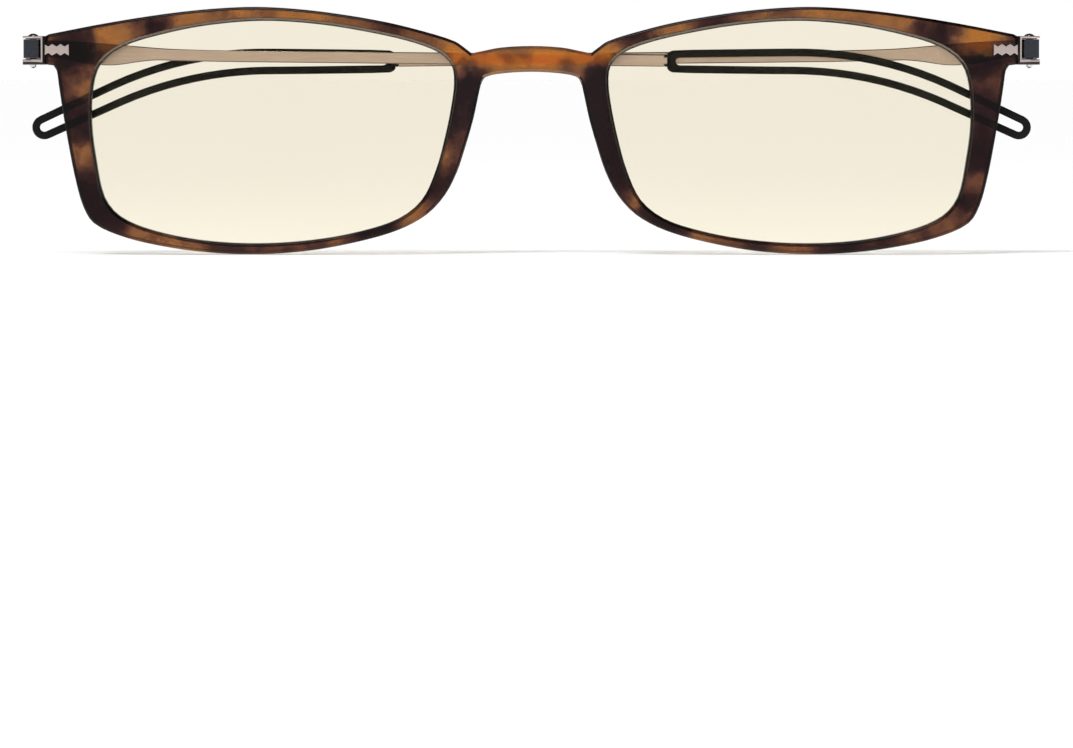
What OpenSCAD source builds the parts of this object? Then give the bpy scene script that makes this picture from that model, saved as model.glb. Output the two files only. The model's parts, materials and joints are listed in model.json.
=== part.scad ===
// Blue light glasses: a slim moulded front, two tinted lenses, two flat steel temples that
// end in black rubber loops, and a screwed hinge at each side. Drawn folded, as they are
// stored: the right temple lies next to the lenses and the left temple lies over it.
// X runs across the face with the wearer's left at +X, the front looks along -Y, Z is up.
// The origin is the underside of the nose bridge, half-way through its thickness.

/* [Front] */
// Width of each lens opening
lens_w = 49.2; // [47:0.2:51]
// Height of each lens opening
lens_h = 30.2; // [28.6:0.2:32]
// Distance between the two lens openings
bridge_w = 21; // [20:0.2:22]
// Height of the bridge at its middle
bridge_h = 3.5; // [3:0.1:4]
// Thickness of the front
front_t = 2.4; // [2.2:0.1:2.8]

/* [Lenses] */
// Thickness of each lens
lens_t = 1.4; // [1.2:0.1:1.6]
// Radius of the lens surfaces
lens_curve_r = 700; // [600:10:1200]
// Depth of the groove that holds the lens
groove_depth = 0.5; // [0.3:0.05:0.6]
// Width of the groove
groove_w = 0.7; // [0.5:0.05:0.8]

/* [Hinges] */
// Radius of the hinge screw's shank
screw_r = 0.5; // [0.4:0.05:0.55]
// Radial clearance of the knuckle on the screw
screw_clearance = 0.03; // [0.01:0.01:0.05]
// Radius of the screw's head
screw_head_r = 0.75; // [0.7:0.05:0.9]
// Thickness of each hinge washer
washer_t = 0.12; // [0.1:0.01:0.15]

/* [Temples] */
// Thickness of the steel strip
strip_t = 0.6; // [0.5:0.05:0.7]
// Length from the hinge screw to the start of the rubber loop
strip_len = 86.2; // [84:0.2:88]
// Thickness of the rubber loop
tip_t = 0.9; // [0.8:0.05:1]
// Width of the loop's rubber rails
rail_w = 1.05; // [0.9:0.05:1.1]
// Angle that the loop bends down behind the ear
tip_angle = 24.8; // [20:0.2:28]
// Radius of that bend
tip_bend_r = 50; // [45:1:60]
// Air between pieces that lie on each other when folded
fold_gap = 0.3; // [0.25:0.05:0.4]

/* [Hidden] */

// Longest straight piece in a curve
curve_step = 1.4;
// Lens opening that the outlines below are drawn for
drawn_w = 49.2;
drawn_h = 30.2;
sx = lens_w / drawn_w;
sz = lens_h / drawn_h;
// Height of the notch where the brow meets the bridge, above the lens centre and the origin
notch_up = 10.7;
notch_z = 2.5;
lens_cx = bridge_w / 2 + lens_w / 2;
lens_cz = notch_z - notch_up * sz;
front_back_y = front_t / 2;
// Groove's distance behind the middle of the front, and the lens's middle before it
groove_y = 0.15;
lens_front = 0.95;
// Radius of the round blank that the lens is cut from
blank_r = 32;

// The lens opening, from its centre, starting at the nose
opening_points = [
    [-24.6, 6.7], [-24.3, 9], [-22.7, 10.7], [-19.1, 12.15], [-13.1, 13.55], [-6.1, 14.65],
    [1.4, 15.1], [8.9, 14.5], [15.4, 13.2], [20.4, 11.6], [23.3, 9.4], [24.4, 6.2],
    [24.6, 1.2], [24, -3.8], [22.9, -8.8], [20.8, -11.4], [16.4, -13.3], [9.4, -14.7],
    [1.9, -15.1], [-5.6, -14.6], [-12.1, -13.4], [-17.1, -11.7], [-20.2, -9.2], [-22.1, -5.2],
    [-23.4, -0.5], [-24.25, 3.7]
];
// The brow, from the notch at the bridge to the hinge, from the lens centre
brow_points = [
    [-27, notch_up], [-26.1, 11.4], [-24.7, 12.35], [-20.8, 13.6], [-15.1, 15], [-7.5, 16.25],
    [-1.6, 16.85], [3.4, 17], [9.4, 16.65], [15.4, 15.95], [22.9, 14.75], [30.4, 13.3]
];
// The end that carries the hinge, from the lens centre
end_x_local = 30.95;
end_top = 13;
end_bottom = 9.2;
// The rim, from the hinge end round the bottom to the nose, from the lens centre
rim_points = [
    [29.8, 9.05], [29.35, 8.3], [29.1, 6.6], [28.6, 3.2], [27.7, -2.1], [26.8, -6.6],
    [25.8, -10.1], [24.4, -12.35], [20.9, -14.05], [15.9, -15.35], [9.4, -16.3], [2.4, -16.6],
    [-4.6, -16.15], [-11.1, -15], [-16.9, -13.35], [-20.9, -11.2], [-23.4, -8.5], [-25, -5.4],
    [-26.1, -2.1], [-27.2, 1.7], [-28, 5.4], [-28.35, 6.7]
];

function at_lens(p) = [lens_cx + p[0] * sx, lens_cz + p[1] * sz];
function flip(points) = [for (i = [len(points) - 1:-1:0]) [-points[i][0], points[i][1]]];

nose_x = at_lens(rim_points[len(rim_points) - 1])[0];
notch_x = at_lens(brow_points[0])[0];
// Underside of the bridge and its top, from the middle to the right-hand side
bridge_under = [[0, 0], [0.55 * nose_x, -0.2], [0.91 * nose_x, -0.68]];
bridge_top = [[0, bridge_h], [0.5 * notch_x, bridge_h - 0.2], [0.84 * notch_x, 2.78], [notch_x, notch_z]];

// Direction of a smooth curve at one of its points
function slope(p, i, closed) =
    let (n = len(p))
    let (a = closed ? (i + n - 1) % n : max(i - 1, 0))
    let (b = closed ? (i + 1) % n : min(i + 1, n - 1))
    (p[b] - p[a]) / (norm(p[i] - p[a]) + norm(p[b] - p[i]));

// One stretch of the curve between two points, without its last point
function stretch(p, q, from, to) =
    let (h = norm(q - p), steps = max(3, ceil(h / curve_step)))
    [for (k = [0:steps - 1])
        let (u = k / steps, u2 = u * u, u3 = u2 * u)
        (2 * u3 - 3 * u2 + 1) * p + (u3 - 2 * u2 + u) * h * from
            + (3 * u2 - 2 * u3) * q + (u3 - u2) * h * to];

function curve(p, closed = false) = [
    for (i = [0:len(p) - (closed ? 1 : 2)])
        let (j = (i + 1) % len(p))
        each stretch(p[i], p[j], slope(p, i, closed), slope(p, j, closed)),
    if (!closed) p[len(p) - 1]
];

// A closed clockwise outline made larger by d
function grown(p, d) = [
    for (i = [0:len(p) - 1])
        let (t = p[(i + 1) % len(p)] - p[(i + len(p) - 1) % len(p)])
        p[i] + d * [-t[1], t[0]] / norm(t)
];

opening = curve([for (p = opening_points) at_lens(p)], closed = true);
lens_edge = grown(opening, groove_depth);
brow = curve([for (p = brow_points) at_lens(p)]);
half_under = concat([for (p = rim_points) at_lens(p)], [bridge_under[2], bridge_under[1]]);
underside = curve(concat(half_under, [bridge_under[0]], flip(half_under)));
bridge_arch = curve(concat(flip(bridge_top), [for (i = [1:3]) bridge_top[i]]));
end_corners = [at_lens([end_x_local, end_top]), at_lens([end_x_local, end_bottom])];
front_outline = concat(
    bridge_arch, brow, end_corners, underside, flip(end_corners), flip(brow)
);

// Hinge, seen from above: web beside the front's end, ears above and below the knuckle
web_x = at_lens([end_x_local, 0])[0];
web_t = 0.55;
pin_x = web_x + 1.65;
pin_y = 0.25;
tang_start = 0.1;
hinge_bottom = 0.95;
lower_ear_t = 0.75;
upper_ear_t = 0.3;
hinge_top = 4.85;
ear_r = pin_y + front_back_y;
hinge_play = 0.02;
knuckle_bottom = hinge_bottom + lower_ear_t + washer_t + hinge_play;
knuckle_top = hinge_top - upper_ear_t - washer_t - hinge_play;
knuckle_r = 1.05;
knuckle_front = 0.75;
knuckle_out = 1.3;
washer_r = 1.05;
bore_r = screw_r + screw_clearance;
// Relief along the bend between the tang and the web
bend_w = 0.3;
bend_deep = 0.35;
bend_up = 0.4;
// Serrated tang
tang_z = 3;
tang_t = 0.6;
tang_pitch = 0.56;
tang_teeth = 7;
tang_peak = 0.8;
tang_valley = 0.45;
// Screw
head_h = 0.36;
slot_w = 0.22;
slot_depth = 0.22;
tail_r = 0.42;
tail_h = 0.5;
cut_over = 1;

// How much less room the outer temple takes, as its strip is thinner than the loop under it
nesting = 0.1;
// Depths of the folded temples
inner_y = front_back_y + fold_gap + tip_t / 2;
outer_y = inner_y + tip_t + fold_gap - nesting;
strip_front_y = inner_y - strip_t / 2;
jog_start = 4;
jog_len = 13;
jog_steps = 12;

// Steel that runs on into the rubber
strip_in_rubber = 0.5;
// Upper and lower edge of the strip: distance from the hinge screw, height
strip_end_top = 2.32;
strip_end_bottom = 0.68;
strip_top = [
    [-1.2, 4.3], [3, 4.25], [8, 3.98], [13, 3.56], [16.7, 3.24], [20, 3.06],
    [29, 2.86], [60, 2.6], [strip_len + strip_in_rubber, strip_end_top]
];
strip_bottom = [
    [strip_len + strip_in_rubber, strip_end_bottom], [60, 0.98], [29, 1.3], [19.5, 1.47],
    [16.7, 1.55], [14.3, 1.33], [11.5, 0.92], [9.5, 0.88], [7, 1.1], [3, 1.9], [-1.2, 1.95]
];

// Rubber loop, from the end of the strip
tip_z = 1.4;
tip_straight = 17.5;
tip_tail = 10.4;
tip_arc = tip_bend_r * tip_angle * PI / 180;
tip_len = tip_straight + tip_arc + tip_tail;
nose_len = 1.3;
nose_half = 0.85;
slot_start = 1.15;
slot_round = 0.6;
core_w = 0.4;
core_start = strip_in_rubber;
// Notches in the end of the strip that the rubber fills
notch_len = 0.35;
notch_deep = 0.3;

function heading(s) = tip_angle * min(max((s - tip_straight) / tip_arc, 0), 1);
function tip_path(s) =
    let (a = heading(s), after = max(s - tip_straight - tip_arc, 0))
    [min(s, tip_straight) + tip_bend_r * sin(a) + after * cos(a),
        -tip_bend_r * (1 - cos(a)) - after * sin(a)];
function half_pitch(s) = 1.02 + 0.1 * s / tip_len + 0.2 * sin(180 * s / tip_len);
function quarter_round(t) = sqrt(1 - pow(1 - min(max(t, 0), 1), 2));
function sleeve_half(s) =
    let (full = half_pitch(s) + rail_w / 2)
    nose_half + (full - nose_half) * quarter_round(s / nose_len);
function slot_half(s) = (half_pitch(s) - rail_w / 2) * quarter_round((s - slot_start) / slot_round);
function core_outer(s) = half_pitch(s) + core_w / 2;
function core_inner(s) = half_pitch(s) - core_w / 2;
function side_point(s, w) = tip_path(s) + w * [sin(heading(s)), cos(heading(s))];
function stations(start) = concat(
    [for (f = [0, 0.08, 0.25, 0.5, 0.8]) start + f],
    [for (i = [1:22]) start + 1.2 + (tip_len - start - 1.2) * i / 22]
);
function round_end(w) = [
    for (a = [-75:15:75])
        tip_path(tip_len) + w * [sin(heading(tip_len) + 90 + a), cos(heading(tip_len) + 90 + a)]
];

sleeve_stations = stations(0);
slot_stations = stations(slot_start);
core_stations = stations(core_start);
core_hole_stations = stations(core_start + core_w);

// A flat shape drawn in X and Z, given its thickness along Y
module slab(y0, y1) {
    translate([0, y1, 0]) rotate([90, 0, 0]) linear_extrude(y1 - y0) children();
}

// The part drawn for the wearer's left side, put on either side
module on_side(right) {
    if (right) mirror([1, 0, 0]) children();
    else children();
}

// A shape drawn in distance from the hinge screw and height, placed as folded
module folded(y0, y1) {
    translate([pin_x, 0, 0]) mirror([1, 0, 0]) slab(y0, y1) children();
}

module tang_outline() {
    upper = [for (k = [0:tang_teeth - 1])
        [web_x + tang_start - k * tang_pitch, tang_z + (k % 2 == 0 ? tang_peak : tang_valley)]];
    lower = [for (k = [tang_teeth - 1:-1:0])
        [web_x + tang_start - k * tang_pitch, tang_z - (k % 2 == 0 ? tang_peak : tang_valley)]];
    polygon(concat(upper, lower));
}

module tang() {
    slab(-front_back_y, tang_t - front_back_y) tang_outline();
}

module front_frame() {
    color([0.36, 0.2, 0.12])
    difference() {
        slab(-front_back_y, front_back_y) polygon(front_outline);
        for (right = [false, true])
            on_side(right) {
                slab(-front_back_y - cut_over, front_back_y + cut_over) polygon(opening);
                lens_tongue();
                tang();
            }
    }
}

// The edge of the lens that sits in the groove
module lens_tongue() {
    slab(groove_y - groove_w / 2, groove_y + groove_w / 2) polygon(lens_edge);
}

function sag(r) = lens_curve_r - sqrt(lens_curve_r * lens_curve_r - r * r);

// Round blank with two matching curved faces
module lens_blank() {
    radii = [for (r = [0:2:blank_r]) r];
    faces = concat(
        [for (r = radii) [r, lens_front - sag(r)]],
        [for (i = [len(radii) - 1:-1:0]) [radii[i], lens_front - lens_t - sag(radii[i])]]
    );
    translate([lens_cx, 0, lens_cz]) rotate([90, 0, 0]) rotate_extrude($fn = 120) polygon(faces);
}

module lens(right) {
    color([0.95, 0.91, 0.8, 0.6])
    on_side(right) {
        intersection() {
            slab(-front_back_y, front_back_y) polygon(opening);
            lens_blank();
        }
        lens_tongue();
    }
}

module ear(z, h) {
    translate([pin_x, pin_y, z]) cylinder(r = ear_r, h = h, $fn = 64);
    translate([web_x, pin_y - ear_r, z]) cube([pin_x - web_x, 2 * ear_r, h]);
}

module end_piece(right) {
    color([0.8, 0.76, 0.72])
    on_side(right)
    difference() {
        union() {
            tang();
            translate([web_x, -front_back_y, hinge_bottom])
                cube([web_t, front_t, hinge_top - hinge_bottom]);
            ear(hinge_bottom, lower_ear_t);
            ear(hinge_top - upper_ear_t, upper_ear_t);
        }
        translate([pin_x, pin_y, hinge_bottom - cut_over])
            cylinder(r = screw_r, h = lower_ear_t + 2 * cut_over, $fn = 48);
        translate([pin_x, pin_y, hinge_top - upper_ear_t - cut_over])
            cylinder(r = bore_r, h = upper_ear_t + 2 * cut_over, $fn = 48);
        translate([web_x, -front_back_y - cut_over, hinge_bottom + bend_up])
            cube([bend_w, bend_deep + cut_over, hinge_top - hinge_bottom]);
    }
}

// A shallow dome of the given base radius and height, on the plane z = 0
module dome(r, h) {
    ball = (r * r + h * h) / (2 * h);
    intersection() {
        translate([0, 0, h - ball]) sphere(r = ball, $fn = 48);
        cylinder(r = r + cut_over, h = h + cut_over, $fn = 48);
    }
}

module hinge_screw(right) {
    color([0.7, 0.7, 0.72])
    on_side(right)
    translate([pin_x, pin_y, 0]) {
        translate([0, 0, hinge_bottom]) cylinder(r = screw_r, h = hinge_top - hinge_bottom, $fn = 48);
        translate([0, 0, hinge_bottom - tail_h / 2]) cylinder(r = tail_r, h = tail_h / 2, $fn = 48);
        translate([0, 0, hinge_bottom - tail_h / 2]) mirror([0, 0, 1]) dome(tail_r, tail_h / 2);
        translate([0, 0, hinge_top])
        difference() {
            dome(screw_head_r, head_h);
            translate([-cut_over, -slot_w / 2, head_h - slot_depth]) cube([2 * cut_over, slot_w, cut_over]);
        }
    }
}

module washer(right, z) {
    color([0.08, 0.08, 0.08])
    on_side(right)
    translate([pin_x, pin_y, z])
    difference() {
        cylinder(r = washer_r, h = washer_t, $fn = 48);
        translate([0, 0, -cut_over]) cylinder(r = bore_r, h = washer_t + 2 * cut_over, $fn = 48);
    }
}

module knuckle(right) {
    back = strip_front_y - pin_y;
    height = knuckle_top - knuckle_bottom;
    color([0.22, 0.25, 0.28])
    on_side(right)
    translate([pin_x, pin_y, knuckle_bottom])
    difference() {
        union() {
            intersection() {
                cylinder(r = knuckle_r, h = height, $fn = 64);
                translate([-knuckle_r, -knuckle_front, 0]) cube([2 * knuckle_r, knuckle_front + back, height]);
            }
            translate([0, -knuckle_front, 0]) cube([knuckle_out, knuckle_front + back, height]);
            translate([-knuckle_r, 0, 0]) cube([knuckle_r, back, height]);
        }
        translate([0, 0, -cut_over]) cylinder(r = bore_r, h = height + 2 * cut_over, $fn = 48);
    }
}

function rest_y(right) = right ? inner_y : outer_y;
function ease(t) = let (c = min(max(t, 0), 1)) c * c * (3 - 2 * c);

// The strip seen from above, stepping back to the depth that it folds to
module strip_plan(right) {
    step = rest_y(right) - inner_y;
    along = concat(
        [-2 * cut_over],
        [for (k = [0:jog_steps]) jog_start + jog_len * k / jog_steps],
        [strip_len + 2 * cut_over]
    );
    line = [for (u = along) [pin_x - u, inner_y + step * ease((u - jog_start) / jog_len)]];
    near_side = [for (p = line) [p[0], p[1] - strip_t / 2]];
    far_side = [for (i = [len(line) - 1:-1:0]) [line[i][0], line[i][1] + strip_t / 2]];
    linear_extrude(2 * hinge_top) polygon(concat(near_side, far_side));
}

module strip_outline() {
    polygon(concat(curve(strip_top), curve(strip_bottom)));
}

// The notches in the strip's end, open above and below it
module tip_notches() {
    for (z = [strip_end_bottom + notch_deep - cut_over, strip_end_top - notch_deep])
        translate([strip_len - notch_len, z]) square([notch_len + cut_over, cut_over]);
}

module temple_arm(right) {
    color([0.76, 0.72, 0.66])
    on_side(right)
    intersection() {
        folded(inner_y - cut_over, outer_y + cut_over)
        difference() {
            strip_outline();
            tip_notches();
        }
        strip_plan(right);
    }
}

// Both sides of the loop at a half-width that changes along it, with a round end
module tip_shape(along, w) {
    far = w[len(w) - 1];
    upper = [for (i = [0:len(along) - 1]) side_point(along[i], w[i])];
    lower = [for (i = [len(along) - 1:-1:0]) side_point(along[i], -w[i])];
    translate([strip_len, tip_z]) polygon(concat(upper, round_end(far), lower));
}

module core(y) {
    folded(y - core_w / 2, y + core_w / 2)
    difference() {
        tip_shape(core_stations, [for (s = core_stations) core_outer(s)]);
        tip_shape(core_hole_stations, [for (s = core_hole_stations) core_inner(s)]);
    }
}

module tip_core(right) {
    color([0.6, 0.6, 0.62])
    on_side(right) core(rest_y(right));
}

module tip_sleeve(right) {
    y = rest_y(right);
    color([0.06, 0.06, 0.07])
    on_side(right) {
        difference() {
            folded(y - tip_t / 2, y + tip_t / 2)
            difference() {
                tip_shape(sleeve_stations, [for (s = sleeve_stations) sleeve_half(s)]);
                tip_shape(slot_stations, [for (s = slot_stations) slot_half(s)]);
            }
            core(y);
            folded(y - strip_t / 2, y + strip_t / 2) strip_outline();
        }
        folded(y - strip_t / 2, y + strip_t / 2)
        intersection() {
            strip_outline();
            tip_notches();
        }
    }
}

front_frame();
lens(true);  // right_lens
lens(false);  // left_lens
end_piece(true);  // right_end_piece
end_piece(false);  // left_end_piece
hinge_screw(true);  // right_hinge_screw
hinge_screw(false);  // left_hinge_screw
washer(true, knuckle_top + hinge_play);  // right_upper_washer
washer(false, knuckle_top + hinge_play);  // left_upper_washer
washer(true, hinge_bottom + lower_ear_t);  // right_lower_washer
washer(false, hinge_bottom + lower_ear_t);  // left_lower_washer
knuckle(true);  // right_knuckle
knuckle(false);  // left_knuckle
temple_arm(true);  // right_temple_arm
temple_arm(false);  // left_temple_arm
tip_core(true);  // right_tip_core
tip_core(false);  // left_tip_core
tip_sleeve(true);  // right_tip_sleeve
tip_sleeve(false);  // left_tip_sleeve
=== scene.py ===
"""Folding blue light glasses: the finish of every piece, the light and the camera."""
import json
import math

import bmesh
import bpy
from mathutils import Euler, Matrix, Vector


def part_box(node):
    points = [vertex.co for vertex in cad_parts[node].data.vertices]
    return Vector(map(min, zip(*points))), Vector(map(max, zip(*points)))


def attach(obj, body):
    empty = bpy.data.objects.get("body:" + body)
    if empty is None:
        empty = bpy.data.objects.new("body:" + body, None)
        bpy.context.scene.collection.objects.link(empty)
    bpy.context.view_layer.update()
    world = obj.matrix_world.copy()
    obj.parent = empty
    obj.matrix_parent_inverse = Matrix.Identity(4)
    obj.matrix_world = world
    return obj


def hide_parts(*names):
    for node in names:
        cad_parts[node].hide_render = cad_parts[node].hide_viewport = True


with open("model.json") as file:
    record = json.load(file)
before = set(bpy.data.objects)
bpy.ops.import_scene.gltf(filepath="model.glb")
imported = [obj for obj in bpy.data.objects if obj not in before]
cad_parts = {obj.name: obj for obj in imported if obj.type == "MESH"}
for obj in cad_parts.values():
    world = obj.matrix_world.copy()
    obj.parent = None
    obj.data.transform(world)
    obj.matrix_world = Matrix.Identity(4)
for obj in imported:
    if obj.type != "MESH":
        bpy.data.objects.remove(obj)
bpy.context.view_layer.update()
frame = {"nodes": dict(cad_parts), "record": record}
nodes = frame["nodes"]

MM = 0.001
SIDES = ("right", "left")


# ---------------------------------------------------------------- camera and light

# Metres from the front to the camera, and the sensor's width as the camera counts it
CAMERA_AWAY = 1.0
SENSOR = 36.0
# Width of the view at the front of the glasses, and its middle, measured from under the bridge
VIEW_WIDTH = 145.93 * MM
AIM_X = 0.71 * MM
AIM_Z = -41.07 * MM
# Strength of the even light from all round, of the sun and of the small box
SKY_LIGHT = 0.75
SUN_LIGHT = 1.4
BOX_LIGHT = 0.9
# Brightness of the reflected room, from straight down to straight up
ROOM = (
    (0.0, 0.05), (0.06, 0.08), (0.13, 1.1), (0.36, 1.2), (0.43, 0.54), (0.60, 0.50), (0.68, 0.10),
    (0.80, 0.03), (1.0, 0.03),
)


def add_camera():
    """Looks at the front from bridge height, tipped down so that the glasses sit high in the frame."""
    front_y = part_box("front_frame")[0].y
    data = bpy.data.cameras.new("camera")
    data.sensor_width = SENSOR
    tip = math.atan2(-AIM_Z, CAMERA_AWAY)
    data.lens = SENSOR * math.hypot(CAMERA_AWAY, AIM_Z) / VIEW_WIDTH
    data.clip_start = 0.01
    camera = bpy.data.objects.new("camera", data)
    camera.location = (AIM_X, front_y - CAMERA_AWAY, 0)
    camera.rotation_euler = Euler((math.pi / 2 - tip, 0, 0))
    bpy.context.scene.collection.objects.link(camera)
    bpy.context.scene.camera = camera


def add_lights():
    """A wide soft sun from the upper left and a small box that picks out the screw heads."""
    sun = bpy.data.lights.new("soft sun", "SUN")
    sun.energy = SUN_LIGHT
    sun.angle = math.radians(22)
    sun_object = bpy.data.objects.new("soft sun", sun)
    sun_object.rotation_euler = Euler((math.radians(34), math.radians(-24), 0))
    sun_object.visible_glossy = False
    box = bpy.data.lights.new("small box", "AREA")
    box.size = 0.25
    box.energy = BOX_LIGHT
    box_object = bpy.data.objects.new("small box", box)
    box_object.location = (-0.05, -0.35, 0.6)
    box_object.rotation_euler = box_object.location.to_track_quat("Z", "Y").to_euler()
    for light in (sun_object, box_object):
        bpy.context.scene.collection.objects.link(light)


def ramp_node(tree, value, stops):
    """A colour ramp through (position, colour) stops; a single number is a grey."""
    node = tree.nodes.new("ShaderNodeValToRGB")
    ends = node.color_ramp.elements
    ends.remove(ends[1])
    for index, (position, colour) in enumerate(stops):
        stop = ends[0] if index == 0 else ends.new(position)
        stop.position = position
        stop.color = (*colour, 1) if isinstance(colour, tuple) else (colour, colour, colour, 1)
    tree.links.new(value, node.inputs["Fac"])
    return node.outputs["Color"]


def add_world():
    """White to the eye, a little less in its light, and a room with dark corners in reflections."""
    world = bpy.data.worlds.new("studio")
    bpy.context.scene.world = world
    world.use_nodes = True
    tree = world.node_tree
    tree.nodes.clear()
    link = tree.links.new
    out = tree.nodes.new("ShaderNodeOutputWorld")
    shades = [tree.nodes.new("ShaderNodeBackground") for _ in range(3)]
    seen, glow, room = shades
    seen.inputs["Color"].default_value = (1, 1, 1, 1)
    glow.inputs["Color"].default_value = (SKY_LIGHT, SKY_LIGHT, SKY_LIGHT, 1)
    where = tree.nodes.new("ShaderNodeTexCoord")
    split = tree.nodes.new("ShaderNodeSeparateXYZ")
    link(where.outputs["Generated"], split.inputs[0])
    height = spread(tree, split.outputs["Z"], -1, 1)
    link(ramp_node(tree, height, ROOM), room.inputs["Color"])
    path = tree.nodes.new("ShaderNodeLightPath")
    mirrored = tree.nodes.new("ShaderNodeMath")
    mirrored.operation = "SUBTRACT"
    mirrored.use_clamp = True
    link(path.outputs["Is Glossy Ray"], mirrored.inputs[0])
    link(path.outputs["Is Transmission Ray"], mirrored.inputs[1])
    first = tree.nodes.new("ShaderNodeMixShader")
    second = tree.nodes.new("ShaderNodeMixShader")
    link(path.outputs["Is Diffuse Ray"], first.inputs["Fac"])
    link(seen.outputs[0], first.inputs[1])
    link(glow.outputs[0], first.inputs[2])
    link(mirrored.outputs[0], second.inputs["Fac"])
    link(first.outputs[0], second.inputs[1])
    link(room.outputs[0], second.inputs[2])
    link(second.outputs[0], out.inputs["Surface"])


def add_floor():
    """A wide pale floor at the bottom of the rims, as white as the world where nothing shades it."""
    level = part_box("front_frame")[0].z - 0.02 * MM
    sheet = bmesh.new()
    bmesh.ops.create_grid(sheet, x_segments=1, y_segments=1, size=20)
    bmesh.ops.translate(sheet, verts=sheet.verts, vec=(0, 0, level))
    data = bpy.data.meshes.new("floor")
    sheet.to_mesh(data)
    sheet.free()
    floor = bpy.data.objects.new("floor", data)
    floor.visible_glossy = False
    bpy.context.scene.collection.objects.link(floor)
    paper = new_material("paper", **{"Base Color": (0.9, 0.9, 0.9, 1), "Roughness": 0.9,
                                     "Specular IOR Level": 0.0})[0]
    data.materials.append(paper)


# ---------------------------------------------------------------- materials


def new_material(name, **values):
    """A material whose shader has the given constant values; also its tree, link call and shader."""
    material = bpy.data.materials.new(name)
    material.use_nodes = True
    tree = material.node_tree
    shader = tree.nodes["Principled BSDF"]
    for socket, value in values.items():
        shader.inputs[socket].default_value = value
    return material, tree, tree.links.new, shader


def object_place(tree, scale=(1, 1, 1), turn=(0, 0, 0)):
    """Object coordinates in millimetres, stretched and turned."""
    where = tree.nodes.new("ShaderNodeTexCoord")
    mapping = tree.nodes.new("ShaderNodeMapping")
    mapping.inputs["Scale"].default_value = [s / MM for s in scale]
    mapping.inputs["Rotation"].default_value = turn
    tree.links.new(where.outputs["Object"], mapping.inputs["Vector"])
    return mapping.outputs["Vector"]


def noise(tree, place, scale, detail=2.0, rough=0.5, distort=0.0):
    """Soft noise from 0 to 1, at a scale in whatever units the place is in."""
    node = tree.nodes.new("ShaderNodeTexNoise")
    node.inputs["Scale"].default_value = scale
    node.inputs["Detail"].default_value = detail
    node.inputs["Roughness"].default_value = rough
    node.inputs["Distortion"].default_value = distort
    tree.links.new(place, node.inputs["Vector"])
    return node.outputs["Fac"]


def spread(tree, value, low, high, to_low=0.0, to_high=1.0, smooth=False):
    """Turns the range from low to high into the range from to_low to to_high."""
    node = tree.nodes.new("ShaderNodeMapRange")
    node.interpolation_type = "SMOOTHSTEP" if smooth else "LINEAR"
    ends = {"From Min": low, "From Max": high, "To Min": to_low, "To Max": to_high}
    for socket, number in ends.items():
        node.inputs[socket].default_value = number
    tree.links.new(value, node.inputs["Value"])
    return node.outputs[0]


# Where a Mix node keeps its factor, its two colours and its mixed colour
MIX_FACTOR = 0
MIX_FIRST = 6
MIX_SECOND = 7
MIX_RESULT = 2


def blend_colour(tree, factor, first, second):
    """Mixes two colours, each a socket or four numbers."""
    node = tree.nodes.new("ShaderNodeMix")
    node.data_type = "RGBA"
    for socket, value in ((MIX_FIRST, first), (MIX_SECOND, second)):
        if isinstance(value, bpy.types.NodeSocket):
            tree.links.new(value, node.inputs[socket])
        else:
            node.inputs[socket].default_value = value
    tree.links.new(factor, node.inputs[MIX_FACTOR])
    return node.outputs[MIX_RESULT]


def bump(tree, shader, height, depth):
    """Presses a height pattern into the surface, as deep as depth in metres."""
    node = tree.nodes.new("ShaderNodeBump")
    node.inputs["Strength"].default_value = 1.0
    node.inputs["Distance"].default_value = depth
    tree.links.new(height, node.inputs["Height"])
    tree.links.new(node.outputs["Normal"], shader.inputs["Normal"])


def make_grain_group():
    """Fine lines along X and soft smudges, shared by the metals, the rubber and the nylon."""
    group = bpy.data.node_groups.new("grain and smudges", "ShaderNodeTree")
    face = group.interface
    face.new_socket("Along", in_out="INPUT", socket_type="NodeSocketFloat")
    face.new_socket("Across", in_out="INPUT", socket_type="NodeSocketFloat")
    face.new_socket("Grain", in_out="OUTPUT", socket_type="NodeSocketFloat")
    face.new_socket("Smudge", in_out="OUTPUT", socket_type="NodeSocketFloat")
    source = group.nodes.new("NodeGroupInput")
    sink = group.nodes.new("NodeGroupOutput")
    where = group.nodes.new("ShaderNodeTexCoord")
    size = group.nodes.new("ShaderNodeCombineXYZ")
    stretch = group.nodes.new("ShaderNodeVectorMath")
    stretch.operation = "MULTIPLY"
    link = group.links.new
    link(source.outputs["Along"], size.inputs["X"])
    link(source.outputs["Across"], size.inputs["Y"])
    link(source.outputs["Across"], size.inputs["Z"])
    link(where.outputs["Object"], stretch.inputs[0])
    link(size.outputs[0], stretch.inputs[1])
    lines = noise(group, stretch.outputs[0], 1.0, detail=3.0, rough=0.65)
    smudge = noise(group, where.outputs["Object"], 260.0, detail=3.0, rough=0.6, distort=0.4)
    link(lines, sink.inputs["Grain"])
    link(smudge, sink.inputs["Smudge"])
    return group


def add_grain(tree, along, across):
    """Places the grain group, with so many lines a metre along X and across it."""
    node = tree.nodes.new("ShaderNodeGroup")
    node.node_tree = grain_group
    node.inputs["Along"].default_value = along
    node.inputs["Across"].default_value = across
    return node.outputs["Grain"], node.outputs["Smudge"]


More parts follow.
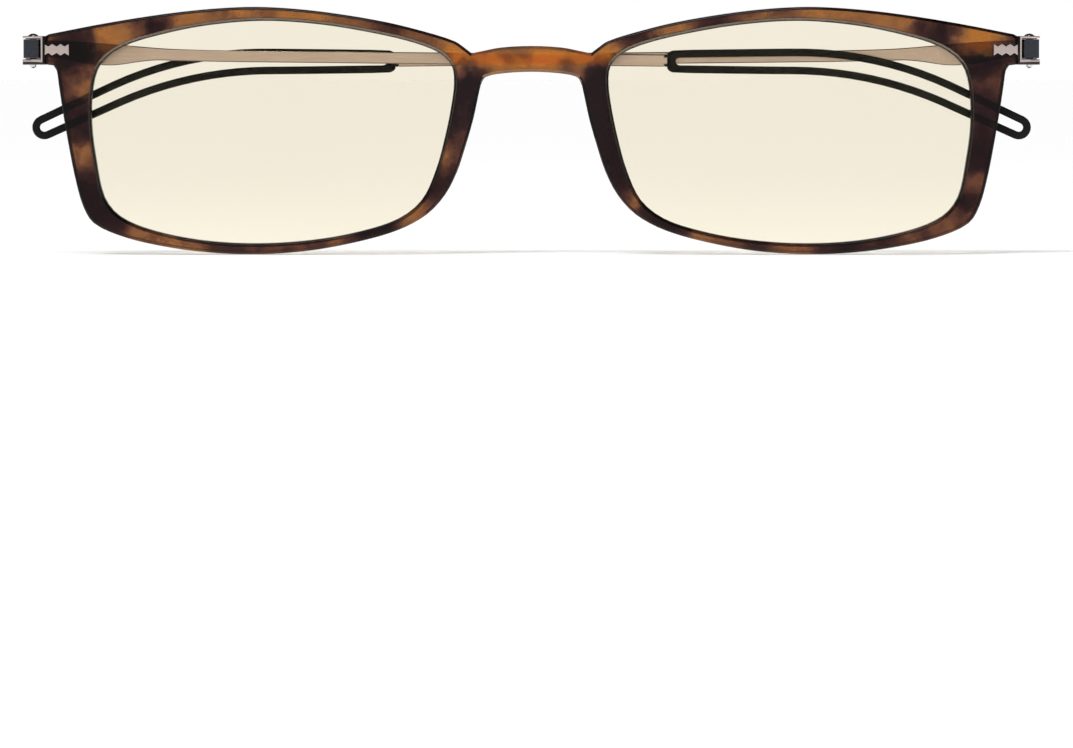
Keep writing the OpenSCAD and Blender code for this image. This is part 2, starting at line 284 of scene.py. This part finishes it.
def make_painted_light_group():
    """Paints shade (darker) or a highlight (paler) into a colour where a piece's edge attribute is below or
    above nought.
    """
    group = bpy.data.node_groups.new("edges", "ShaderNodeTree")
    face = group.interface
    for name in ("Colour", "Dark", "Pale"):
        face.new_socket(name, in_out="INPUT", socket_type="NodeSocketColor")
    face.new_socket("Colour", in_out="OUTPUT", socket_type="NodeSocketColor")
    source = group.nodes.new("NodeGroupInput")
    sink = group.nodes.new("NodeGroupOutput")
    edge = group.nodes.new("ShaderNodeAttribute")
    edge.attribute_name = "edge"
    darker = blend_colour(group, spread(group, edge.outputs["Fac"], 0.0, -1.0),
                          source.outputs["Colour"], source.outputs["Dark"])
    paler = blend_colour(group, spread(group, edge.outputs["Fac"], 0.0, 1.0),
                         darker, source.outputs["Pale"])
    group.links.new(paler, sink.inputs["Colour"])
    return group


def add_painted_light(tree, tint, dark, pale):
    """Places the group that paints shade and highlights on a colour, with this material's own dark and pale
    colours for them.
    """
    node = tree.nodes.new("ShaderNodeGroup")
    node.node_tree = painted_light_group
    tree.links.new(tint, node.inputs["Colour"])
    node.inputs["Dark"].default_value = dark
    node.inputs["Pale"].default_value = pale
    return node.outputs["Colour"]


# Most of a noise lies between these two values
NOISE_LOW = 0.3
NOISE_HIGH = 0.7
# Colours of the painted shade and the painted highlights on the metals' edges
METAL_PAINTED_SHADE = (0.06, 0.052, 0.05, 1)
METAL_PAINTED_SHINE = (0.62, 0.58, 0.55, 1)


def metal(name, colour, dark, rough, along, across, depth, stretch=0.6):
    """Brushed metal: the colour and gloss follow the grain and the smudges; shade and highlights are
    painted on the marked edges.
    """
    material, tree, link, shader = new_material(name, **{"Metallic": 1.0, "Anisotropic": stretch})
    grain, smudge = add_grain(tree, along, across)
    tint = blend_colour(tree, spread(tree, grain, NOISE_LOW, NOISE_HIGH), dark, colour)
    link(add_painted_light(tree, tint, METAL_PAINTED_SHADE, METAL_PAINTED_SHINE), shader.inputs["Base Color"])
    gloss = spread(tree, smudge, NOISE_LOW, NOISE_HIGH, rough * 0.8, rough * 1.25)
    link(gloss, shader.inputs["Roughness"])
    bump(tree, shader, grain, depth)
    return material


# Clouds in the plastic, from the wearer's right to the left: across and up in millimetres, size, and
# how much lighter (amber) or darker (brown) each makes it. The light cloud at 60.5 across and 3.6 up is
# partly the plastic's amber and partly painted light that offsets the shade of the steel strip behind it
CLOUDS = (
    (-64, 0.5, 3, -0.2), (-61.8, 2.4, 3.5, -0.5), (-61.8, -6.8, 3.2, -0.5), (-61.4, -1.6, 3, 0.2),
    (-61.2, -11, 2.4, 0.2), (-61, -9.6, 1.5, 0.15), (-58.8, 5.2, 1.8, 0.3), (-58.5, -18, 5, -0.5),
    (-58.4, 3.3, 1.4, 0.3), (-56.3, 4.4, 3, 0.42), (-54, 5, 2, 0.15), (-53.6, -21.7, 2, 0.25),
    (-51, 6.2, 2, -0.4), (-48.5, -23.3, 5, 0.2), (-45, 7.2, 5, 0.38), (-44.3, -24, 3, 0.2),
    (-39, 9, 1.2, -0.4), (-38, 7.6, 3, 0.35), (-35, -24.3, 8, -0.12), (-31.5, 7.8, 5, 0.45),
    (-29.5, -24, 2, -0.2), (-26, -23.2, 2.5, 0.2), (-21.5, -22.3, 4, -0.5), (-19, 5.6, 2.5, -0.02),
    (-16.6, -20, 3, 0.35), (-14.5, 4.6, 3, 0.2), (-12.7, -15, 3, -0.45), (-11.3, -11.3, 2.5, 0.3),
    (-11.2, 3.7, 1.8, -0.24), (-9.5, 2.4, 3, 0.65), (-9.3, 0.2, 1.6, -0.2), (-8.9, -4, 6, -0.5),
    (-8.8, -1.8, 2, -0.25), (-7.6, 0.1, 2.2, -0.36), (-6.2, 1.4, 2.2, 0.35), (-3.4, 1.2, 1.5, -0.15),
    (-2, 2.5, 1.9, -0.3), (0, 2, 11, 0.5), (2, 1.7, 2.4, 0.35), (5.2, 1.4, 2.2, -0.25),
    (7.4, 0.5, 1.6, -0.3), (8, 0, 1.8, -0.3), (8.9, -4, 6, -0.6), (9.3, 2.4, 3, 0.55),
    (9.4, -7.4, 1.6, 0.45), (9.5, -1.2, 3, -0.4), (10.4, 3.4, 1.5, -0.26), (11, -12, 6, -0.4),
    (12, 3.4, 1.6, 0.3), (14, -17.8, 1.8, 0.25), (15, 4.7, 2.4, -0.3), (18, -20.7, 4, -0.55),
    (18.8, 5.6, 2.5, 0.35), (25, 7, 3.5, -0.2), (25, -23, 4, 0.2), (30.5, 7.8, 3.5, 0.25),
    (31, -24, 3, -0.15), (36.8, -24.3, 2.5, 0.25), (44, 7.3, 8, 0.3), (44.5, -23.8, 6, -0.3),
    (50.8, 6.2, 2, 0.25), (54.5, -21.3, 4.5, -0.06), (54.8, 4.8, 3.5, -0.34),
    (58.9, -17.8, 2.2, -0.45), (60.5, 3.6, 2.4, 0.5), (60.5, 1.7, 3, -0.62), (60.5, -15.2, 2.2, 0.22),
    (61, -11, 4, -0.45), (61.3, 4.6, 4, 0.6), (61.6, -4, 5, -0.15), (62.5, 1.6, 2.5, -0.5),
)
# The plastic's colour from darkest to lightest
TONES = (
    (0.0, (0.012, 0.003, 0.004)), (0.2, (0.034, 0.011, 0.010)), (0.4, (0.135, 0.049, 0.026)),
    (0.6, (0.310, 0.128, 0.041)), (0.8, (0.460, 0.160, 0.024)), (1.0, (0.860, 0.330, 0.034)),
)
# The cloud pattern is moved about by up to this many millimetres, and this noise is its middle
RAGGED = 5.0
NOISE_MIDDLE = 0.5
# Half the bridge's width, the height of the band of painted light along it, where the steel strip behind it
# shades the plastic, and how far above and below that height the band is full and where it ends, in
# millimetres
BRIDGE_HALF = 10.0
PAINTED_BAND_Z = 1.75
PAINTED_BAND_FULL = 0.5
PAINTED_BAND_END = 1.3
# How much lighter the band of painted light is, and how much rougher the bridge
PAINTED_BAND_LIFT = 0.26
BRIDGE_SATIN = 0.42
# Colours of the painted shade and the painted highlights on the front's edges
PLASTIC_PAINTED_SHADE = (0.0015, 0.0008, 0.0008, 1)
PLASTIC_PAINTED_SHINE = (1.0, 0.80, 0.60, 1)


def combine(tree, operation, first, second, third=None):
    """A Math node on sockets or numbers."""
    node = tree.nodes.new("ShaderNodeMath")
    node.operation = operation
    for index, value in enumerate((first, second, third)):
        if isinstance(value, bpy.types.NodeSocket):
            tree.links.new(value, node.inputs[index])
        elif value is not None:
            node.inputs[index].default_value = value
    return node.outputs[0]


def cloud_map(tree):
    """How light the plastic is: the listed clouds with ragged edges, broken up by noise."""
    place = object_place(tree)
    wobble = tree.nodes.new("ShaderNodeTexNoise")
    wobble.inputs["Scale"].default_value = 0.32
    wobble.inputs["Detail"].default_value = 3.0
    tree.links.new(place, wobble.inputs["Vector"])
    moved = tree.nodes.new("ShaderNodeVectorMath")
    moved.operation = "MULTIPLY_ADD"
    moved.inputs[1].default_value = (RAGGED, RAGGED, RAGGED)
    tree.links.new(wobble.outputs["Color"], moved.inputs[0])
    tree.links.new(place, moved.inputs[2])
    level = combine(tree, "MULTIPLY_ADD", noise(tree, place, 0.22, detail=3.0, distort=0.5), 1.3, -0.23)
    drift = RAGGED * NOISE_MIDDLE
    for across, up, size, lift in CLOUDS:
        away = tree.nodes.new("ShaderNodeVectorMath")
        away.operation = "DISTANCE"
        away.inputs[1].default_value = (across + drift, drift, up + drift)
        tree.links.new(moved.outputs[0], away.inputs[0])
        soft = spread(tree, away.outputs["Value"], size * 1.3, size * 0.35, 0.0, lift, smooth=True)
        level = combine(tree, "ADD", level, soft)
    return level


def tortoiseshell():
    """Amber plastic with dark clouds in it, polished, but satin at the bridge; light comes through. A band
    of painted light along the bridge offsets the shade of the steel strip behind it, and the edges take
    painted shade and highlights.
    """
    material, tree, link, shader = new_material(
        "tortoiseshell", **{"IOR": 1.30, "Transmission Weight": 0.85})
    flecks = noise(tree, object_place(tree), 1.6, detail=3.0, rough=0.6)
    where = tree.nodes.new("ShaderNodeSeparateXYZ")
    link(object_place(tree), where.inputs[0])
    across = combine(tree, "ABSOLUTE", where.outputs["X"], 0.0)
    bridge = spread(tree, across, BRIDGE_HALF + 2.0, BRIDGE_HALF - 2.0, smooth=True)
    # Painted light: a lighter band along the bridge at the height of the steel strip, whose shade shows
    # through the plastic
    off_middle = combine(tree, "ABSOLUTE", combine(tree, "SUBTRACT", where.outputs["Z"], PAINTED_BAND_Z), 0.0)
    painted_band = combine(tree, "MULTIPLY", spread(tree, off_middle, PAINTED_BAND_END, PAINTED_BAND_FULL, smooth=True),
                     spread(tree, across, BRIDGE_HALF + 2.0, BRIDGE_HALF, smooth=True))
    level = combine(tree, "MULTIPLY", combine(tree, "MINIMUM", cloud_map(tree), 0.97), 0.8)
    level = combine(tree, "MULTIPLY_ADD", flecks, 0.24, combine(tree, "ADD", level, -0.12))
    level = combine(tree, "MULTIPLY_ADD", painted_band, PAINTED_BAND_LIFT, level)
    tint = ramp_node(tree, level, TONES)
    link(add_painted_light(tree, tint, PLASTIC_PAINTED_SHADE, PLASTIC_PAINTED_SHINE), shader.inputs["Base Color"])
    polish = spread(tree, flecks, 0.2, 0.8, 0.10, 0.18)
    link(combine(tree, "MULTIPLY_ADD", bridge, BRIDGE_SATIN, polish), shader.inputs["Roughness"])
    bump(tree, shader, flecks, 0.004 * MM)
    return material


def tinted_lens():
    """Clear resin with a faint warm tint and a coating that takes most of the reflection away."""
    material, tree, link, shader = new_material(
        "tinted lens", **{"IOR": 1.12, "Transmission Weight": 1.0})
    cloud = noise(tree, object_place(tree), 0.05, detail=1.0)
    link(blend_colour(tree, cloud, (0.885, 0.830, 0.685, 1), (0.895, 0.840, 0.705, 1)),
         shader.inputs["Base Color"])
    link(spread(tree, cloud, NOISE_LOW, NOISE_HIGH, 0.0, 0.006), shader.inputs["Roughness"])
    return material


def rubber():
    """Matt black rubber with a fine even grain."""
    material, tree, link, shader = new_material("black rubber", **{"Specular IOR Level": 0.2})
    grain, smudge = add_grain(tree, 9000.0, 9000.0)
    wiped = spread(tree, smudge, NOISE_LOW, NOISE_HIGH)
    tint = blend_colour(tree, wiped, (0.003, 0.003, 0.003, 1), (0.007, 0.007, 0.007, 1))
    link(tint, shader.inputs["Base Color"])
    link(spread(tree, smudge, NOISE_LOW, NOISE_HIGH, 0.5, 0.66), shader.inputs["Roughness"])
    bump(tree, shader, grain, 0.012 * MM)
    return material


def nylon():
    """Black nylon, a little smoother than the rubber; its black also stands for the shade in the narrow
    gaps the washers sit in.
    """
    material, tree, link, shader = new_material("black nylon")
    grain, smudge = add_grain(tree, 5000.0, 5000.0)
    tint = blend_colour(tree, smudge, (0.012, 0.012, 0.012, 1), (0.022, 0.022, 0.022, 1))
    link(tint, shader.inputs["Base Color"])
    link(spread(tree, smudge, NOISE_LOW, NOISE_HIGH, 0.4, 0.5), shader.inputs["Roughness"])
    bump(tree, shader, grain, 0.005 * MM)
    return material


grain_group = make_grain_group()
painted_light_group = make_painted_light_group()
# The finish of each of the record's material slots
FINISH = {
    "tortoiseshell": tortoiseshell(),
    "lens": tinted_lens(),
    "temple_steel": metal(
        "satin strip", colour=(0.70, 0.59, 0.59, 1), dark=(0.53, 0.44, 0.435, 1),
        rough=0.34, along=300.0, across=22000.0, depth=0.004 * MM),
    "hinge_steel": metal(
        "satin bracket", colour=(0.98, 0.83, 0.77, 1), dark=(0.80, 0.66, 0.61, 1),
        rough=0.30, along=2500.0, across=16000.0, depth=0.003 * MM),
    "knuckle_steel": metal(
        "blackened block", colour=(0.095, 0.10, 0.12, 1), dark=(0.055, 0.06, 0.075, 1),
        rough=0.38, along=6000.0, across=9000.0, depth=0.003 * MM, stretch=0.2),
    "screw_steel": metal(
        "polished screw", colour=(0.75, 0.74, 0.73, 1), dark=(0.60, 0.59, 0.58, 1),
        rough=0.20, along=6000.0, across=6000.0, depth=0.002 * MM, stretch=0.0),
    "core_steel": metal(
        "spring wire", colour=(0.60, 0.60, 0.61, 1), dark=(0.45, 0.45, 0.46, 1),
        rough=0.35, along=400.0, across=15000.0, depth=0.003 * MM),
    "washer_nylon": nylon(),
    "tip_rubber": rubber(),
}


# ---------------------------------------------------------------- pieces

# Corners nearer to each other than this are one corner
WELD = 0.002 * MM
# Faces that meet at less than FLAT are one face, at less than SHARP are shaded as one surface, and at
# more than CORNER meet at an edge to be rounded
FLAT = math.radians(0.15)
SHARP = math.radians(38)
CORNER = math.radians(55)
# Faces whose edge tones differ by more than this keep a crisp line between them
TONE_STEP = 0.45
# Bevels of the front, outside and round the lenses, and of the rubber loops
OUTER_ROUND = 0.38 * MM
INNER_ROUND = 0.42 * MM
RUBBER_ROUND = 0.27 * MM
# How far from the middle the thinner painted dark line over the bridge reaches, and the height above which
# an underside near the middle is the bridge's, where a highlight is painted
OVER_BRIDGE = 7.8 * MM
UNDER_BRIDGE = -1.5 * MM
# Edge tones of the front, from -1 (black) to 1 (pale): shade painted along the outline and on the walls, a
# highlight painted under the bridge
OUTLINE = -1.0
OUTLINE_AT_BRIDGE = -0.55
UNDERSIDE = 0.02
BRIDGE_LIP = 0.4
LENS_WALL = -0.4
# Tones of the bevel round a lens: a facet that leans less than the first number is so dark or pale at the
# sides, under the brow and at the foot of the opening; the pale is a painted highlight, the dark painted
# shade
BEVEL_TONES = (
    (0.4, 0.2, 1.0, 0.0),
    (0.7, -0.8, 1.0, -0.1),
    (1.1, -0.8, -0.8, -0.2),
)
# The hinge bracket: how high the shade painted along its lower edge reaches, how deep the relief behind its
# face may lie, where shade is painted too, and how far the ears reach in from the outer end
PAINTED_SHADE_UNDER = 0.4 * MM
RELIEF = 0.42 * MM
EAR_REACH = 2.7 * MM
TANG_LENGTH = 3 * MM
# The metal pieces: node, name, whether it swings, slot, bevel in millimetres, edge tone (a painted
# highlight above nought, painted shade below)
METAL_PIECES = (
    ("_temple_arm", "_temple_strip", True, "temple_steel", 0.12, -0.7),
    ("_knuckle", "_hinge_block", True, "knuckle_steel", 0.1, 0.35),
    ("_end_piece", "_hinge_bracket", False, "hinge_steel", 0.06, 0.3),
    ("_hinge_screw", "_screw", False, "screw_steel", 0.03, 0.0),
)


def merged_copy(node):
    """The node's shape with its loose triangles joined up and its flat faces whole."""
    mesh = bmesh.new()
    mesh.from_mesh(nodes[node].data)
    bmesh.ops.remove_doubles(mesh, verts=mesh.verts, dist=WELD)
    bmesh.ops.dissolve_limit(mesh, angle_limit=FLAT, use_dissolve_boundaries=False,
                             verts=mesh.verts, edges=mesh.edges, delimit=set())
    return mesh


def on_flat_sides(mesh):
    """The sharp edges that lie in the front or the back plane of the shape."""
    depths = [v.co.y for v in mesh.verts]
    planes = (min(depths), max(depths))

    def flat(edge):
        return any(all(abs(v.co.y - plane) < WELD for v in edge.verts) for plane in planes)

    return [e for e in mesh.edges if flat(e) and e.calc_face_angle(0) > SHARP]


def corners(mesh):
    """The edges where two faces meet at a real corner."""
    return [e for e in mesh.edges if e.calc_face_angle(0) > CORNER]


def round_edges(mesh, edges, width, segments, clamp=True):
    """Bevels the edges and gives back the new faces."""
    made = bmesh.ops.bevel(mesh, geom=edges, offset=width, offset_type="OFFSET", segments=segments,
                           profile=0.5, affect="EDGES", clamp_overlap=clamp, material=-1, loop_slide=True)
    return made["faces"]


def share(value, low, high):
    """How far a value has come from low to high, from 0 to 1."""
    return min(max((value - low) / (high - low), 0), 1)


def finish_piece(name, mesh, body, slot, replaced):
    """Puts a shape in the scene as a smooth piece that rides on a body in place of a node."""
    tone = mesh.faces.layers.float.get("edge")
    for face in mesh.faces:
        face.smooth = True
    for edge in mesh.edges:
        edge.smooth = edge.calc_face_angle(0) < SHARP
        tones = [face[tone] for face in edge.link_faces] if tone else [0]
        if max(tones) - min(tones) > TONE_STEP:
            edge.smooth = edge.calc_face_angle(0) < FLAT
    data = bpy.data.meshes.new(name)
    mesh.to_mesh(data)
    mesh.free()
    data.materials.append(FINISH[slot])
    piece = bpy.data.objects.new(name, data)
    bpy.context.scene.collection.objects.link(piece)
    weigh = piece.modifiers.new("even shading", "WEIGHTED_NORMAL")
    weigh.keep_sharp = True
    weigh.weight = 100
    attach(piece, body)
    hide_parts(replaced)


def tang_box(side):
    """Where the part of the hinge bracket that is let into the front starts, and its lowest and highest."""
    low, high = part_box(side + "_end_piece")
    inner = min(abs(low.x), abs(high.x))
    reach = inner + TANG_LENGTH
    spots = [v.co for v in nodes[side + "_end_piece"].data.vertices if abs(v.co.x) < reach]
    return inner, min(p.z for p in spots), max(p.z for p in spots)


def outside_tone(face):
    """Painted shade, black round the outside and thinner over the bridge, plain below, and a pale painted
    highlight under the bridge.
    """
    middle = face.calc_center_median()
    if face.normal.z < -0.2 and face.normal.y < -0.55:
        at_bridge = abs(middle.x) < BRIDGE_HALF * MM and middle.z > UNDER_BRIDGE
        return BRIDGE_LIP if at_bridge else UNDERSIDE
    at_bridge = face.normal.z > 0.2 and abs(middle.x) < OVER_BRIDGE
    return OUTLINE_AT_BRIDGE if at_bridge else OUTLINE


def inside_tone(face):
    """The painted highlight or shade of a facet of the bevel round a lens, from how far it leans and where
    it is.
    """
    lean = math.hypot(face.normal.x, face.normal.z)
    up = face.normal.z / max(lean, 0.01)
    side, brow, foot = next(row[1:] for row in BEVEL_TONES if lean < row[0])
    return side + (brow - side) * share(-up, 0.25, 0.75) + (foot - side) * share(up, 0.2, 0.5)


def front_shell():
    """The moulded front: rounded outside, with shade painted on its outline and walls and a highlight
    painted on a narrow bevel round each lens.
    """
    mesh = merged_copy("front_frame")
    inner, tang_low, tang_high = tang_box("left")
    lens_low, lens_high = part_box("left_lens")
    centre = (lens_low + lens_high) / 2
    front = min(v.co.y for v in mesh.verts)
    back = max(v.co.y for v in mesh.verts)

    def at_tang(edge):
        return all(abs(v.co.x) > inner - WELD and tang_low - WELD < v.co.z < tang_high + WELD
                   for v in edge.verts)

    def at_lens(point):
        return lens_low.x < abs(point.x) < lens_high.x and lens_low.z < point.z < lens_high.z

    def faces_lens(edge):
        """True where the wall under the edge looks towards the middle of a lens."""
        wall = min(edge.link_faces, key=lambda f: abs(f.normal.y))
        middle = (edge.verts[0].co + edge.verts[1].co) / 2
        to_centre = Vector((math.copysign(centre.x, middle.x) - middle.x, 0, centre.z - middle.z))
        return at_lens(middle) and wall.normal.dot(to_centre) > 0

    tone = mesh.faces.layers.float.new("edge")
    # The bevels get painted shade and painted highlights as edge tones
    outside = [e for e in on_flat_sides(mesh) if not at_tang(e) and not faces_lens(e)]
    for face in round_edges(mesh, outside, OUTER_ROUND, 3, clamp=False):
        face[tone] = outside_tone(face)
    inside = [e for e in on_flat_sides(mesh) if not at_tang(e) and faces_lens(e)]
    for face in round_edges(mesh, inside, INNER_ROUND, 4, clamp=False):
        face[tone] = inside_tone(face)
    # Shade painted on the walls, except on those at the foot of each lens opening that face up into the
    # light
    for face in mesh.faces:
        middle = face.calc_center_median()
        wall = abs(face.normal.y) < 0.3 and front + WELD < middle.y < back - WELD
        if wall and not (at_lens(middle) and face.normal.z > 0.3):
            face[tone] = min(face[tone], LENS_WALL)
    finish_piece("front_shell", mesh, "front", "tortoiseshell", "front_frame")


def paint_bracket_shade(shape, tone):
    """Paints shade black on the lower edge of the bracket and in the relief along its bend."""
    low = min(v.co.z for v in shape.verts)
    front = min(v.co.y for v in shape.verts)
    bend = max(abs(v.co.x) for v in shape.verts) - EAR_REACH
    bmesh.ops.bisect_plane(shape, geom=shape.verts[:] + shape.edges[:] + shape.faces[:], dist=WELD / 10,
                           plane_co=(0, 0, low + PAINTED_SHADE_UNDER), plane_no=(0, 0, 1))
    for face in shape.faces:
        middle = face.calc_center_median()
        under = middle.z < low + PAINTED_SHADE_UNDER and abs(face.normal.z) < 0.9
        sunk = face.normal.y < -0.9 and front + WELD < middle.y < front + RELIEF
        if under or (sunk and abs(middle.x) < bend):
            face[tone] = -1.0


def metal_piece(side, node, name, body, slot, width, painted_edge_tone):
    """A metal piece with small rounded corners, painted pale as a highlight or dark as shade."""
    shape = merged_copy(side + node)
    painted_layer = shape.faces.layers.float.new("edge")
    if node == "_end_piece":
        paint_bracket_shade(shape, painted_layer)
    # Painted highlight or shade on the rounded corners; faces already painted black as shade stay black
    for face in round_edges(shape, corners(shape), width * MM, 2):
        if face[painted_layer] > -0.5:
            face[painted_layer] = painted_edge_tone
    finish_piece(side + name, shape, body, slot, side + node)


front_shell()
for side in SIDES:
    temple = side + "_temple"
    finish_piece(side + "_tinted_lens", merged_copy(side + "_lens"), "front", "lens", side + "_lens")
    loop = merged_copy(side + "_tip_sleeve")
    round_edges(loop, on_flat_sides(loop), RUBBER_ROUND, 4, clamp=False)
    finish_piece(side + "_tip_rubber", loop, temple, "tip_rubber", side + "_tip_sleeve")
    for node, name, swings, slot, width, painted_edge_tone in METAL_PIECES:
        metal_piece(side, node, name, temple if swings else "front", slot, width, painted_edge_tone)

# The washers and the wires in the tips keep their own shapes; every node gets its slot's finish
for row in frame["record"]["subparts"]:
    node = nodes[row["node"]]
    node.data.materials.clear()
    node.data.materials.append(FINISH[row["material_slot"]])

add_camera()
add_world()
add_floor()
add_lights()
bpy.context.scene.view_settings.view_transform = "Standard"
